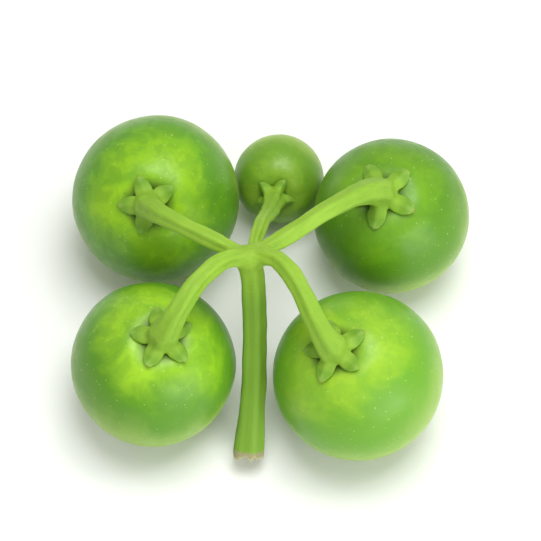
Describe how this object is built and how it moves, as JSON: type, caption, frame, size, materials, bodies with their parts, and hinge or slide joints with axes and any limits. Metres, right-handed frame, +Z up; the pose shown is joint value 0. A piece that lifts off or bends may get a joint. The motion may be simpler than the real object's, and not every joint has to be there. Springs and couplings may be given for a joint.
{
  "type": "black nightshade berry cluster",
  "caption": "Picked cluster of unripe green nightshade berries, each under a small star-shaped calyx, hanging from one forked stalk and lying on a flat surface.",
  "frame": {"origin": "on the surface that the berries rest on, below the middle of the cluster's bounding box", "axes": "+Z up from that surface; -Y towards the cut end of the main stalk; +X to the right for someone who looks along +Y"},
  "size_m": [0.0224, 0.0212, 0.0117],
  "materials": {
    "berry_front_left": "satin",
    "berry_front_right": "satin",
    "berry_back_left": "satin",
    "berry_back_right": "satin",
    "berry_back_middle": "satin",
    "stalk": "matte"
  },
  "bodies": {
    "root": {"berry_front_left": "berry_front_left", "berry_front_right": "berry_front_right", "berry_back_left": "berry_back_left", "berry_back_right": "berry_back_right", "berry_back_middle": "berry_back_middle", "stalk": "stalk"}
  },
  "joints": []
}
